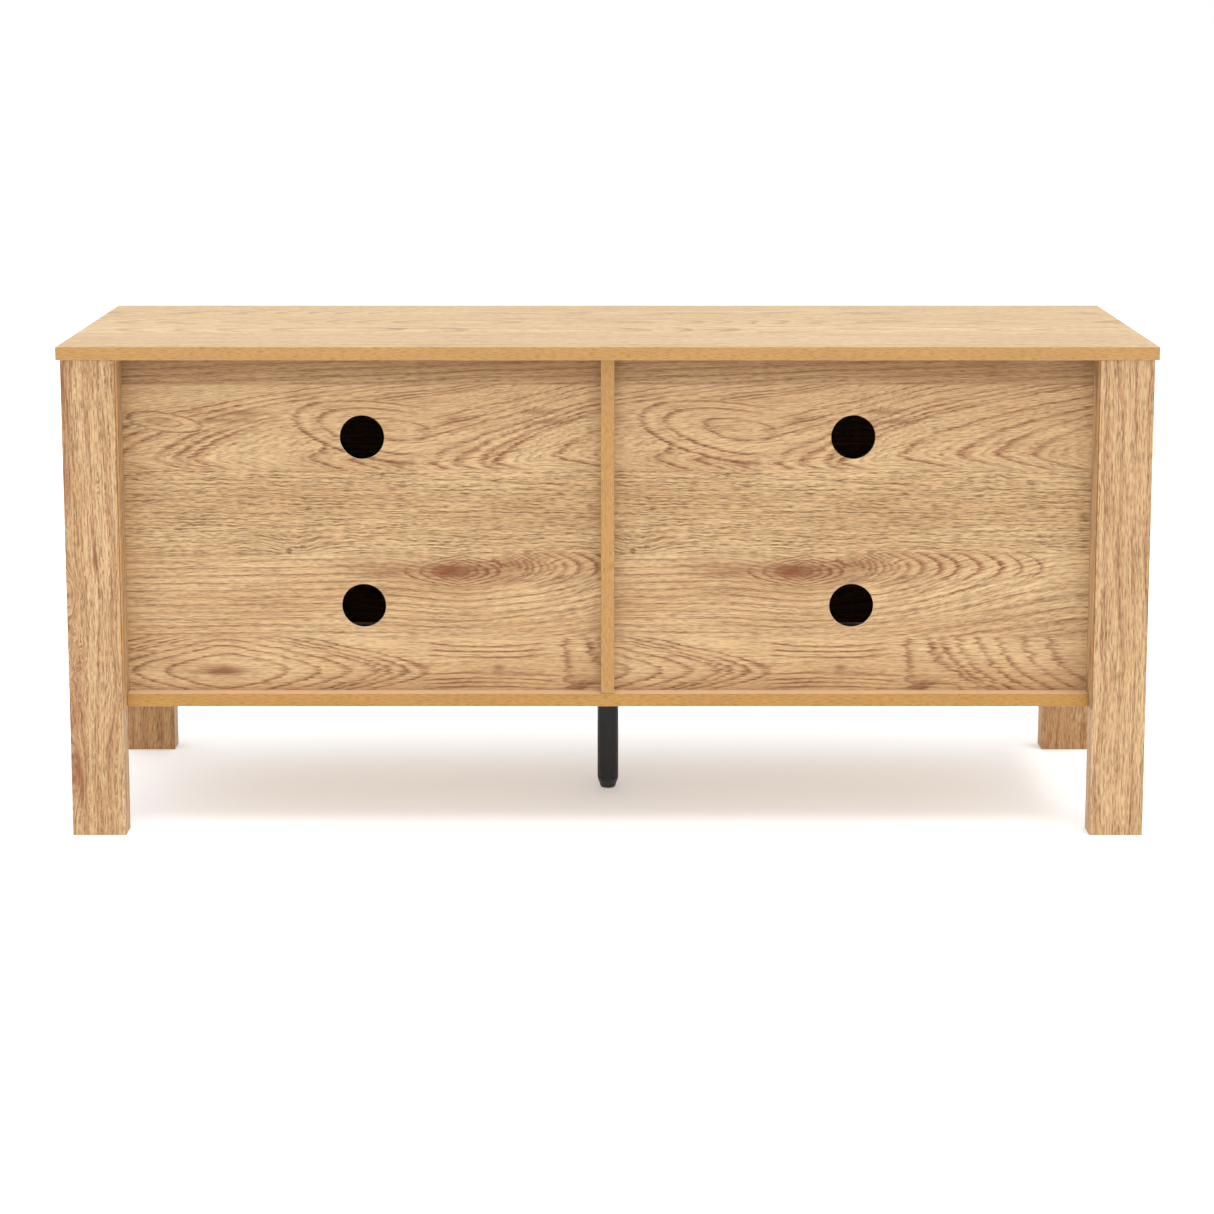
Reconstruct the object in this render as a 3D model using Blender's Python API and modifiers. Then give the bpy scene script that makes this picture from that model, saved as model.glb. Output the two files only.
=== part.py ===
"""Media cabinet: a two-bay cabinet on four post legs, with a hinged door on each bay.

Units are metres. +Z is up, the doors face -Y and the cable holes are in the back, at +Y. Left and
right are as seen from the front, so right is +X. The origin is on the floor under the middle of the
top panel.
"""

import math

import bmesh
import bpy
from mathutils import Matrix, Vector

# ---------------------------------------------------------------- driving dimensions
GAP = 0.0003  # between two pieces that touch
BOARD = 0.015  # thickness of every carcass board, shelf and door
BACK_BOARD = 0.003  # thickness of the back panels

TOP_WIDTH = 1.220
TOP_DEPTH = 0.406
HEIGHT = 0.559

LEG_WIDTH = 0.060
LEG_DEPTH = 0.030
LEG_INSET_SIDE = 0.004  # from the top panel's edges to the legs
LEG_INSET_BACK = 0.005
LEG_INSET_FRONT = 0.010

TONGUE = 0.0020  # the side panels' thin edge that laps the legs' inner faces
TONGUE_SETBACK = 0.002  # from a leg's outer face to the end of the tongue
FLOOR_TO_BOTTOM = 0.146  # underside of the bottom panel
CARCASS_INSET_BACK = 0.016  # from the back legs' faces to the divider's and bottom's back edges
CARCASS_INSET_FRONT = 0.015  # from the front legs' faces to the doors' faces
BACK_RECESS = 0.017  # from the divider's back edge to the back panels
GROOVE_DEPTH = 0.005
GROOVE_ENTRY = 0.0045  # how far a back panel's edge goes into its groove

CABLE_HOLE_RADIUS = 0.025
LOWER_HOLE_RAISE = 0.006  # the lower holes sit this far above the middle of their compartments

SHELF_FRONT = -0.145
SHELF_BACK_PLAY = 0.003
SHELF_END_PLAY = 0.0006
SHELF_PIN_SHANK = 0.0025
SHELF_PIN_HEAD = 0.0035
SHELF_PIN_REACH = 0.006  # how far a head stands out of the board, and how deep its shank goes
SHELF_PIN_SETBACK = 0.045  # from the shelf's front and back edges to its pins
SHELF_HOLE_PITCH = 0.032

DOOR_REVEAL = 0.0025  # gap round a door, except at its hinges
HINGE_REVEAL = 0.003  # gap between a door's edge and the side panel

HINGE_HEIGHT = 0.050
HINGE_END_DISTANCE = 0.060  # from the door's top and bottom edges to the hinges' middles
KNUCKLE_RADIUS = 0.003
HINGE_PIN_RADIUS = 0.0015
HINGE_PIN_PLAY = 0.00025
LEAF_THICKNESS = 0.0009
LEAF_DEPTH = 0.0138

HANDLE_LENGTH = 0.168
HANDLE_SPACING = 0.128
HANDLE_RADIUS = 0.005
HANDLE_STANDOFF = 0.019  # from the door's face to the middle of the bar
HANDLE_POST_RADIUS = 0.004
HANDLE_EDGE_DISTANCE = 0.040  # from the door's free edge to the bar
HANDLE_SCREW_DEPTH = 0.008  # how far its thread goes into the post

TUBE_RADIUS = 0.0125
TUBE_WALL = 0.0015
FOOT_HEIGHT = 0.012
PLUG_LENGTH = 0.022
STUD_RADIUS = 0.004
STUD_LENGTH = 0.020
PLATE_SIZE = 0.060
PLATE_THICKNESS = 0.0025
PLATE_SCREW_SPACING = 0.044
SCREW_SHANK = 0.0018  # radius, of the plate and handle screws
SCREW_HEAD = 0.0040
SCREW_PLAY = 0.0004
PLATE_SCREW_LENGTH = 0.0135

CATCH_FROM_FREE_EDGE = 0.050  # from the door's free edge to the catch's middle
CATCH_SIZE = (0.042, 0.0145, 0.0132)
STRIKE_SIZE = (0.036, 0.0012, 0.013)

# ---------------------------------------------------------------- derived places
TOP_UNDERSIDE = HEIGHT - BOARD
LEG_OUTER_X = TOP_WIDTH / 2 - LEG_INSET_SIDE
LEG_INNER_X = LEG_OUTER_X - LEG_WIDTH
LEGS_BACK_Y = TOP_DEPTH / 2 - LEG_INSET_BACK
LEGS_FRONT_Y = -TOP_DEPTH / 2 + LEG_INSET_FRONT
SIDE_INNER_X = LEG_INNER_X - TONGUE
BOTTOM_TOP_Z = FLOOR_TO_BOTTOM + BOARD
CARCASS_BACK_Y = LEGS_BACK_Y - CARCASS_INSET_BACK
CARCASS_FRONT_Y = LEGS_FRONT_Y + CARCASS_INSET_FRONT
BACK_OUTER_Y = CARCASS_BACK_Y - BACK_RECESS
BACK_INNER_Y = BACK_OUTER_Y - BACK_BOARD
DOOR_INNER_Y = CARCASS_FRONT_Y + BOARD
BAY_MIDDLE_X = (SIDE_INNER_X + BOARD / 2) / 2
SHELF_TOP_Z = (BOTTOM_TOP_Z + TOP_UNDERSIDE + BOARD) / 2
SHELF_UNDERSIDE = SHELF_TOP_Z - BOARD
UPPER_HOLE_Z = (SHELF_TOP_Z + TOP_UNDERSIDE) / 2
LOWER_HOLE_Z = (BOTTOM_TOP_Z + SHELF_UNDERSIDE) / 2 + LOWER_HOLE_RAISE
DOOR_BOTTOM_Z = BOTTOM_TOP_Z + DOOR_REVEAL
DOOR_TOP_Z = TOP_UNDERSIDE - DOOR_REVEAL
DOOR_FREE_X = BOARD / 2 + DOOR_REVEAL
DOOR_HINGED_X = SIDE_INNER_X - HINGE_REVEAL
PIVOT_X = SIDE_INNER_X - KNUCKLE_RADIUS - GAP
PIVOT_Y = CARCASS_FRONT_Y - KNUCKLE_RADIUS - GAP
HANDLE_Z = (DOOR_BOTTOM_Z + DOOR_TOP_Z) / 2
PLATE_TOP_Z = FLOOR_TO_BOTTOM - GAP
PLATE_UNDERSIDE = PLATE_TOP_Z - PLATE_THICKNESS

ALONG_X = Matrix.Rotation(math.pi / 2, 4, "Y")
ALONG_Y = Matrix.Rotation(math.pi / 2, 4, "X")
ALONG_Z = Matrix.Identity(4)


# ---------------------------------------------------------------- scene and materials
for old in list(bpy.data.objects):
    bpy.data.objects.remove(old, do_unlink=True)

parts = bpy.data.collections.new("media_cabinet")
cutters = bpy.data.collections.new("cutters")
bpy.context.scene.collection.children.link(parts)
bpy.context.scene.collection.children.link(cutters)


def material(name, colour, roughness, metallic=0.0):
    """A Principled material with one colour (linear RGB)."""
    made = bpy.data.materials.new(name)
    made.use_nodes = True
    shader = made.node_tree.nodes["Principled BSDF"]
    shader.inputs["Base Color"].default_value = (*colour, 1.0)
    shader.inputs["Roughness"].default_value = roughness
    shader.inputs["Metallic"].default_value = metallic
    return made


OAK_TOP = material("oak_laminate_top", (0.80, 0.60, 0.36), 0.45)
OAK_LEG = material("oak_laminate_legs", (0.62, 0.40, 0.21), 0.5)
OAK_BOARD = material("oak_laminate_boards", (0.60, 0.33, 0.13), 0.5)
OAK_BACK = material("oak_print_back_panels", (0.55, 0.32, 0.15), 0.55)
BLACK_COAT = material("black_powder_coat", (0.025, 0.026, 0.026), 0.4)
BLACK_PLASTIC = material("black_plastic", (0.02, 0.02, 0.02), 0.5)
ZINC = material("zinc_plated_steel", (0.62, 0.63, 0.64), 0.35, 1.0)


# ---------------------------------------------------------------- modelling helpers
def place(name, mesh, location, finish, parent=None):
    """Puts a mesh in the cabinet as a named sub-part, at a world location."""
    piece = bpy.data.objects.new(name, mesh)
    mesh.materials.append(finish)
    parts.objects.link(piece)
    if parent:
        piece.parent = parent
        location = Vector(location) - parent.location
    piece.location = location
    return piece


def block_mesh(name, size, rounding=0.0, segments=1):
    """A block centred on the origin, with every edge rounded."""
    mesh = bpy.data.meshes.new(name)
    work = bmesh.new()
    bmesh.ops.create_cube(work, size=1.0, matrix=Matrix.Diagonal((*size, 1.0)))
    if rounding:
        bmesh.ops.bevel(
            work, geom=list(work.edges), offset=rounding, segments=segments, profile=0.5, affect="EDGES"
        )
    work.to_mesh(mesh)
    work.free()
    return mesh


def block(name, low, high, finish, rounding=0.0005, segments=1, parent=None):
    """A board or block between two corners."""
    low, high = Vector(low), Vector(high)
    mesh = block_mesh(name, high - low, rounding, segments)
    return place(name, mesh, (low + high) / 2, finish, parent)


def rod_mesh(name, radius, length, sides, turn, rounding=0.0):
    """A solid rod centred on the origin, its ends rounded, along the axis that turn gives."""
    mesh = bpy.data.meshes.new(name)
    work = bmesh.new()
    bmesh.ops.create_cone(
        work, cap_ends=True, segments=sides, radius1=radius, radius2=radius, depth=length, matrix=turn
    )
    if rounding:
        rims = [edge for edge in work.edges if any(len(face.verts) == sides for face in edge.link_faces)]
        bmesh.ops.bevel(work, geom=rims, offset=rounding, segments=2, profile=0.5, affect="EDGES")
    work.to_mesh(mesh)
    work.free()
    mesh.shade_smooth()
    mesh.set_sharp_from_angle(angle=0.6)
    return mesh


def turned(name, profile, location, turn, finish, sides, parent=None):
    """A turned piece: profile lists (radius, height) from top to bottom, from the axis back to it."""
    mesh = bpy.data.meshes.new(name)
    work = bmesh.new()
    corners = [work.verts.new((radius, 0.0, height)) for radius, height in profile]
    for first, second in zip(corners, corners[1:]):
        work.edges.new((first, second))
    work.to_mesh(mesh)
    work.free()
    piece = place(name, mesh, location, finish, parent)
    piece.rotation_euler = turn.to_euler()
    screw = piece.modifiers.new("turn", "SCREW")
    screw.steps = sides
    screw.render_steps = sides
    screw.use_merge_vertices = True
    screw.merge_threshold = 0.00001
    screw.use_smooth_shade = True
    return piece


def helper(name, mesh, location):
    """An object that only cuts or joins."""
    tool = bpy.data.objects.new(name, mesh)
    tool.location = location
    tool.hide_render = True
    tool.display_type = "WIRE"
    cutters.objects.link(tool)
    return tool


def combine(piece, tool, operation):
    change = piece.modifiers.new(tool.name, "BOOLEAN")
    change.operation = operation
    change.solver = "EXACT"
    change.object = tool


def cut_block(piece, label, low, high):
    low, high = Vector(low), Vector(high)
    tool = helper(f"{label}_cutter", block_mesh(label, high - low), (low + high) / 2)
    combine(piece, tool, "DIFFERENCE")


def cut_hole(piece, label, location, radius, length, turn, sides=12):
    tool = helper(f"{label}_cutter", rod_mesh(label, radius, length, sides, turn), location)
    combine(piece, tool, "DIFFERENCE")


def side_name(side):
    return "right" if side > 0 else "left"


def between(side, near, far):
    """Low and high X of a span given by its distances from the middle plane."""
    return (near, far) if side > 0 else (-far, -near)


# ---------------------------------------------------------------- boards and legs
def back_groove(piece, label, low_x, high_x, low_z, high_z):
    """The groove that a back panel's edge sits in, cut across the given region."""
    cut_block(
        piece,
        label,
        (low_x, BACK_INNER_Y - GAP, low_z),
        (high_x, BACK_OUTER_Y + GAP, high_z),
    )


def make_top():
    top = block(
        "top_panel",
        (-TOP_WIDTH / 2, -TOP_DEPTH / 2, TOP_UNDERSIDE),
        (TOP_WIDTH / 2, TOP_DEPTH / 2, HEIGHT),
        OAK_TOP,
        rounding=0.0008,
        segments=2,
    )
    reach = SIDE_INNER_X + GROOVE_DEPTH
    back_groove(top, "top_groove", -reach, reach, TOP_UNDERSIDE - BOARD, TOP_UNDERSIDE + GROOVE_DEPTH)


def make_legs():
    leg_places = {
        "front": (LEGS_FRONT_Y, LEGS_FRONT_Y + LEG_DEPTH),
        "back": (LEGS_BACK_Y - LEG_DEPTH, LEGS_BACK_Y),
    }
    for side in (-1, 1):
        low_x, high_x = between(side, LEG_INNER_X, LEG_OUTER_X)
        for end, (low_y, high_y) in leg_places.items():
            block(
                f"{end}_{side_name(side)}_leg",
                (low_x, low_y, 0.0),
                (high_x, high_y, TOP_UNDERSIDE - GAP),
                OAK_LEG,
                rounding=0.0008,
                segments=2,
            )


def make_bottom():
    half = SIDE_INNER_X - GAP
    bottom = block(
        "bottom_panel",
        (-half, CARCASS_FRONT_Y, FLOOR_TO_BOTTOM),
        (half, CARCASS_BACK_Y, BOTTOM_TOP_Z),
        OAK_BOARD,
        rounding=0.0006,
        segments=2,
    )
    back_groove(bottom, "bottom_groove", -half - BOARD, half + BOARD, BOTTOM_TOP_Z - GROOVE_DEPTH, HEIGHT)
    for number, (x, y) in enumerate(plate_screw_places(), 1):
        pilot_depth = PLATE_SCREW_LENGTH - PLATE_THICKNESS + SCREW_PLAY
        pilot = f"plate_screw_pilot_{number}"
        cut_hole(bottom, pilot, (x, y, FLOOR_TO_BOTTOM), SCREW_SHANK + SCREW_PLAY, pilot_depth * 2, ALONG_Z)


def shelf_pin_rows():
    """The Y places of the shelf pins, front and back."""
    return (SHELF_FRONT + SHELF_PIN_SETBACK, BACK_INNER_Y - SHELF_BACK_PLAY - SHELF_PIN_SETBACK)


def shelf_pin_height():
    return SHELF_UNDERSIDE - GAP - SHELF_PIN_HEAD


def cut_shelf_holes(piece, label, face_x, outward):
    """Three holes in each row, so the shelf can be set one step higher or lower."""
    depth = SHELF_PIN_REACH + GAP
    over = 0.001  # how far the cutter starts outside the board
    for row, y in enumerate(shelf_pin_rows(), 1):
        for step in (-1, 0, 1):
            middle = Vector((face_x, y, shelf_pin_height() + step * SHELF_HOLE_PITCH))
            cut_hole(
                piece,
                f"{label}_row_{row}_step_{step + 2}",
                middle - Vector((outward * (depth / 2 - over), 0.0, 0.0)),
                SHELF_PIN_SHANK + GAP,
                depth + over * 2,
                ALONG_X,
                sides=10,
            )


def make_side(side):
    name = f"{side_name(side)}_side_panel"
    low_x, high_x = between(side, SIDE_INNER_X, SIDE_INNER_X + BOARD)
    panel = block(
        name,
        (low_x, LEGS_FRONT_Y + TONGUE_SETBACK, FLOOR_TO_BOTTOM),
        (high_x, LEGS_BACK_Y - TONGUE_SETBACK, TOP_UNDERSIDE - GAP),
        OAK_BOARD,
        rounding=0.0005,
        segments=1,
    )
    cut_x = between(side, LEG_INNER_X - GAP, LEG_OUTER_X)
    leg_spans = {
        "front": (LEGS_FRONT_Y - BOARD, LEGS_FRONT_Y + LEG_DEPTH + GAP),
        "back": (LEGS_BACK_Y - LEG_DEPTH - GAP, LEGS_BACK_Y + BOARD),
    }
    for end, (low_y, high_y) in leg_spans.items():
        cut_block(panel, f"{name}_{end}_rebate", (cut_x[0], low_y, 0.0), (cut_x[1], high_y, HEIGHT))
    groove_x = between(side, SIDE_INNER_X - BOARD, SIDE_INNER_X + GROOVE_DEPTH)
    back_groove(panel, f"{name}_groove", *groove_x, 0.0, HEIGHT)
    cut_shelf_holes(panel, name, side * SIDE_INNER_X, -side)


def make_divider():
    half = BOARD / 2
    divider = block(
        "centre_divider",
        (-half, CARCASS_FRONT_Y, BOTTOM_TOP_Z + GAP),
        (half, CARCASS_BACK_Y, TOP_UNDERSIDE - GAP),
        OAK_BOARD,
        rounding=0.0006,
        segments=2,
    )
    for side in (-1, 1):
        groove_x = between(side, half - GROOVE_DEPTH, SIDE_INNER_X)
        back_groove(divider, f"divider_{side_name(side)}_groove", *groove_x, 0.0, HEIGHT)
        cut_shelf_holes(divider, f"divider_{side_name(side)}", side * half, side)


def make_back(side):
    name = f"{side_name(side)}_back_panel"
    low_x, high_x = between(side, BOARD / 2 - GROOVE_ENTRY, SIDE_INNER_X + GROOVE_ENTRY)
    panel = block(
        name,
        (low_x, BACK_INNER_Y, BOTTOM_TOP_Z - GROOVE_ENTRY),
        (high_x, BACK_OUTER_Y, TOP_UNDERSIDE + GROOVE_ENTRY),
        OAK_BACK,
        rounding=0.0,
    )
    for label, height in (("upper", UPPER_HOLE_Z), ("lower", LOWER_HOLE_Z)):
        middle = (side * BAY_MIDDLE_X, (BACK_INNER_Y + BACK_OUTER_Y) / 2, height)
        cut_hole(panel, f"{name}_{label}_hole", middle, CABLE_HOLE_RADIUS, BOARD, ALONG_Y, sides=48)


# ---------------------------------------------------------------- shelves
def make_shelf(side):
    name = f"{side_name(side)}_shelf"
    low_x, high_x = between(side, BOARD / 2 + SHELF_END_PLAY, SIDE_INNER_X - SHELF_END_PLAY)
    block(
        name,
        (low_x, SHELF_FRONT, SHELF_UNDERSIDE),
        (high_x, BACK_INNER_Y - SHELF_BACK_PLAY, SHELF_TOP_Z),
        OAK_BOARD,
        rounding=0.0006,
        segments=1,
    )
    walls = {"inner": (side * BOARD / 2, side), "outer": (side * SIDE_INNER_X, -side)}
    for wall, (face_x, outward) in walls.items():
        for row, y in zip(("front", "back"), shelf_pin_rows()):
            make_shelf_pin(f"{name}_pin_{row}_{wall}", (face_x, y, shelf_pin_height()), outward)


def make_shelf_pin(name, location, outward):
    """A pin whose shank sits in a board and whose head carries the shelf."""
    shank, head, reach = SHELF_PIN_SHANK, SHELF_PIN_HEAD, SHELF_PIN_REACH
    profile = [
        (0.0, reach),
        (head - 0.0005, reach),
        (head, reach - 0.0005),
        (head, GAP),
        (shank, GAP),
        (shank, -reach + GAP),
        (0.0, -reach + GAP),
    ]
    turn = Matrix.Rotation(outward * math.pi / 2, 4, "Y")
    turned(name, profile, location, turn, ZINC, sides=10)


# ---------------------------------------------------------------- centre support leg
def plate_screw_places():
    half = PLATE_SCREW_SPACING / 2
    return [(x, y) for x in (-half, half) for y in (-half, half)]


def make_centre_leg():
    half = PLATE_SIZE / 2
    plate = block(
        "centre_leg_plate",
        (-half, -half, PLATE_UNDERSIDE),
        (half, half, PLATE_TOP_Z),
        BLACK_COAT,
        rounding=0.0004,
    )
    for number, (x, y) in enumerate(plate_screw_places(), 1):
        clearance = SCREW_SHANK + SCREW_PLAY
        cut_hole(plate, f"plate_hole_{number}", (x, y, PLATE_TOP_Z), clearance, BOARD, ALONG_Z)
        make_plate_screw(f"centre_leg_screw_{number}", (x, y, PLATE_UNDERSIDE - GAP))

    inner = TUBE_RADIUS - TUBE_WALL
    tube_top = PLATE_UNDERSIDE - GAP
    tube_bottom = FOOT_HEIGHT + GAP
    length = tube_top - tube_bottom
    middle = (0.0, 0.0, (tube_top + tube_bottom) / 2)
    tube = place("centre_leg_tube", rod_mesh("tube", TUBE_RADIUS, length, 40, ALONG_Z), middle, BLACK_COAT)
    cut_hole(tube, "tube_bore", middle, inner, length * 1.2, ALONG_Z, sides=40)

    plug_middle = (0.0, 0.0, tube_bottom + PLUG_LENGTH / 2)
    plug = place(
        "centre_leg_plug",
        rod_mesh("plug", inner - GAP, PLUG_LENGTH, 24, ALONG_Z),
        plug_middle,
        BLACK_PLASTIC,
    )
    cut_hole(plug, "plug_thread", plug_middle, STUD_RADIUS + GAP, PLUG_LENGTH * 1.2, ALONG_Z, sides=24)
    make_levelling_foot()


def make_plate_screw(name, location):
    """A pan-head screw from below; the top of its head is at the location."""
    profile = [
        (0.0, PLATE_SCREW_LENGTH),
        (SCREW_SHANK / 2, PLATE_SCREW_LENGTH),
        (SCREW_SHANK, PLATE_SCREW_LENGTH - 0.002),
        (SCREW_SHANK, 0.0),
        (SCREW_HEAD, 0.0),
        (SCREW_HEAD, -0.0012),
        (SCREW_HEAD - 0.0010, -0.0022),
        (0.0, -0.0024),
    ]
    turned(name, profile, location, ALONG_Z, ZINC, sides=12)


def make_levelling_foot():
    """A tapered foot with a ledge round it, on a stud that screws into the plug."""
    stud_top = FOOT_HEIGHT + STUD_LENGTH
    profile = [
        (0.0, stud_top),
        (STUD_RADIUS - 0.0008, stud_top),
        (STUD_RADIUS, stud_top - 0.0008),
        (STUD_RADIUS, FOOT_HEIGHT),
        (TUBE_RADIUS - 0.0004, FOOT_HEIGHT),
        (TUBE_RADIUS, FOOT_HEIGHT - 0.0006),
        (TUBE_RADIUS - 0.0012, 0.0072),
        (TUBE_RADIUS - 0.0017, 0.0068),
        (TUBE_RADIUS - 0.0029, 0.0024),
        (TUBE_RADIUS - 0.0034, 0.0011),
        (TUBE_RADIUS - 0.0045, 0.0),
        (0.0, 0.0),
    ]
    slide = bpy.data.objects.new("levelling_foot_axis", None)
    parts.objects.link(slide)
    turned("levelling_foot", profile, (0.0, 0.0, 0.0), ALONG_Z, BLACK_PLASTIC, sides=40, parent=slide)


# ---------------------------------------------------------------- doors
def make_door(side):
    name = f"{side_name(side)}_door"
    axis = bpy.data.objects.new(f"{name}_hinge_axis", None)
    axis.location = (side * PIVOT_X, PIVOT_Y, DOOR_BOTTOM_Z)
    parts.objects.link(axis)

    low_x, high_x = between(side, DOOR_FREE_X, DOOR_HINGED_X)
    door = block(
        name,
        (low_x, CARCASS_FRONT_Y, DOOR_BOTTOM_Z),
        (high_x, DOOR_INNER_Y, DOOR_TOP_Z),
        OAK_BOARD,
        rounding=0.0006,
        segments=2,
        parent=axis,
    )
    make_handle(side, door, axis)
    for label, z in (
        ("lower", DOOR_BOTTOM_Z + HINGE_END_DISTANCE),
        ("upper", DOOR_TOP_Z - HINGE_END_DISTANCE),
    ):
        make_hinge(f"{name}_{label}_hinge", side, z, axis)
    make_catch(side, axis)


def make_handle(side, door, axis):
    name = f"{side_name(side)}_handle"
    x = side * (DOOR_FREE_X + HANDLE_EDGE_DISTANCE)
    bar_y = CARCASS_FRONT_Y - HANDLE_STANDOFF
    bar_mesh = rod_mesh(f"{name}_bar", HANDLE_RADIUS, HANDLE_LENGTH, 20, ALONG_Z, rounding=0.0008)
    place(f"{name}_bar", bar_mesh, (x, bar_y, HANDLE_Z), BLACK_COAT, axis)
    for end, step in (("lower", -0.5), ("upper", 0.5)):
        z = HANDLE_Z + step * HANDLE_SPACING
        post_length = HANDLE_STANDOFF - GAP
        post_mesh = rod_mesh(f"{name}_{end}_post", HANDLE_POST_RADIUS, post_length, 16, ALONG_Y)
        post_middle = (x, bar_y + post_length / 2, z)
        post = place(f"{name}_{end}_post", post_mesh, post_middle, BLACK_COAT, axis)
        saddle = f"{name}_{end}_saddle"
        cut_hole(post, saddle, (x, bar_y, z), HANDLE_RADIUS + GAP, 0.03, ALONG_Z, sides=20)
        bore_middle = (x, CARCASS_FRONT_Y - HANDLE_SCREW_DEPTH / 2, z)
        clearance = SCREW_SHANK + SCREW_PLAY
        cut_hole(post, f"{name}_{end}_bore", bore_middle, clearance, HANDLE_SCREW_DEPTH + GAP * 2, ALONG_Y)
        door_middle = (x, CARCASS_FRONT_Y + BOARD / 2, z)
        cut_hole(door, f"{name}_{end}_door_hole", door_middle, clearance, BOARD * 1.4, ALONG_Y)
        make_handle_screw(f"{name}_{end}_screw", (x, DOOR_INNER_Y + GAP, z), axis)


def make_handle_screw(name, location, axis):
    """A pan-head screw through the door into a handle post; its head rests on the door's inner face."""
    tip = BOARD + HANDLE_SCREW_DEPTH - 0.001
    profile = [
        (0.0, tip),
        (SCREW_SHANK - 0.0005, tip),
        (SCREW_SHANK, tip - 0.0006),
        (SCREW_SHANK, 0.0),
        (SCREW_HEAD, 0.0),
        (SCREW_HEAD, -0.0014),
        (SCREW_HEAD - 0.0012, -0.0024),
        (0.0, -0.0026),
    ]
    turned(name, profile, location, ALONG_Y, ZINC, sides=12, parent=axis)


def leaf(name, side, z, near, far, knuckles, parent):
    """One hinge leaf: a plate beside the door's edge, its tabs, and the knuckles that they carry.

    near and far are the plate's distances from the pin's axis towards the side panel. knuckles lists
    the low and high ends of this leaf's knuckles, from the hinge's middle.
    """
    plate_start = PIVOT_Y + KNUCKLE_RADIUS + GAP * 2
    low_x, high_x = between(side, PIVOT_X + near, PIVOT_X + far)
    plate = block(
        name,
        (low_x, plate_start, z - HINGE_HEIGHT / 2),
        (high_x, plate_start + LEAF_DEPTH, z + HINGE_HEIGHT / 2),
        ZINC,
        rounding=0.0,
        parent=parent,
    )
    for number, (low_z, high_z) in enumerate(knuckles, 1):
        tab_low = Vector((low_x, PIVOT_Y, z + low_z))
        tab_high = Vector((high_x, plate_start + 0.001, z + high_z))
        label = f"{name}_tab_{number}"
        tab = helper(label, block_mesh(label, tab_high - tab_low), (tab_low + tab_high) / 2)
        combine(plate, tab, "UNION")
        label = f"{name}_knuckle_{number}"
        knuckle = rod_mesh(label, KNUCKLE_RADIUS, high_z - low_z, 14, ALONG_Z)
        middle = (side * PIVOT_X, PIVOT_Y, z + (low_z + high_z) / 2)
        combine(plate, helper(label, knuckle, middle), "UNION")
    bore = HINGE_PIN_RADIUS + HINGE_PIN_PLAY
    cut_hole(plate, f"{name}_bore", (side * PIVOT_X, PIVOT_Y, z), bore, HINGE_HEIGHT * 1.2, ALONG_Z)
    return plate


def make_hinge(name, side, z, axis):
    third = HINGE_HEIGHT / 6
    half = HINGE_HEIGHT / 2
    frame_knuckles = [(-half, -third - GAP), (third + GAP, half)]
    door_knuckles = [(-third + GAP, third - GAP)]
    frame_far = KNUCKLE_RADIUS - 0.00005
    leaf(f"{name}_frame_leaf", side, z, frame_far - LEAF_THICKNESS, frame_far, frame_knuckles, None)
    door_near = DOOR_HINGED_X + GAP - PIVOT_X
    leaf(f"{name}_door_leaf", side, z, door_near, door_near + LEAF_THICKNESS, door_knuckles, axis)

    head = HINGE_PIN_RADIUS + 0.0010
    end = half + GAP
    profile = [
        (0.0, end + 0.0012),
        (head - 0.0005, end + 0.0012),
        (head, end),
        (HINGE_PIN_RADIUS, end),
        (HINGE_PIN_RADIUS, -end),
        (head, -end),
        (head - 0.0005, -end - 0.0012),
        (0.0, -end - 0.0012),
    ]
    turned(f"{name}_pin", profile, (side * PIVOT_X, PIVOT_Y, z), ALONG_Z, ZINC, sides=12)


def make_catch(side, axis):
    """A magnet case under the top panel, and the steel plate on the door that it holds."""
    name = side_name(side)
    x = side * (DOOR_FREE_X + CATCH_FROM_FREE_EDGE)
    strike_width, strike_depth, strike_height = STRIKE_SIZE
    strike_y = DOOR_INNER_Y + GAP
    strike_top = DOOR_TOP_Z - 0.001
    block(
        f"{name}_catch_strike_plate",
        (x - strike_width / 2, strike_y, strike_top - strike_height),
        (x + strike_width / 2, strike_y + strike_depth, strike_top),
        ZINC,
        rounding=0.0003,
        parent=axis,
    )
    width, depth, height = CATCH_SIZE
    case_y = strike_y + strike_depth + GAP
    case_top = TOP_UNDERSIDE - GAP
    block(
        f"{name}_magnetic_catch",
        (x - width / 2, case_y, case_top - height),
        (x + width / 2, case_y + depth, case_top),
        BLACK_PLASTIC,
        rounding=0.0008,
    )


# ---------------------------------------------------------------- the cabinet
make_top()
make_legs()
make_bottom()
make_divider()
for hand in (-1, 1):
    make_side(hand)
    make_back(hand)
    make_shelf(hand)
    make_door(hand)
make_centre_leg()
bpy.context.view_layer.update()
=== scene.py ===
"""Media cabinet seen from behind, on a pale floor in soft studio light."""
import math

import bpy
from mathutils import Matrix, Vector


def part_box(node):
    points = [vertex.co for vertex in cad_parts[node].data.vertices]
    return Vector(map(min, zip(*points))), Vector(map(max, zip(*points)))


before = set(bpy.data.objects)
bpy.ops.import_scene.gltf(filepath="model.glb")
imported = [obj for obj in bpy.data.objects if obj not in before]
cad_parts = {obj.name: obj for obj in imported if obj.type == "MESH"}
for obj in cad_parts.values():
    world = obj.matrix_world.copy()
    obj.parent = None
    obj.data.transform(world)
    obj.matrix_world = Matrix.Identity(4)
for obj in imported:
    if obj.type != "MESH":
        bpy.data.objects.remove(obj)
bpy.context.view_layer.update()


# ---------------------------------------------------------------- node trees

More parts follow.
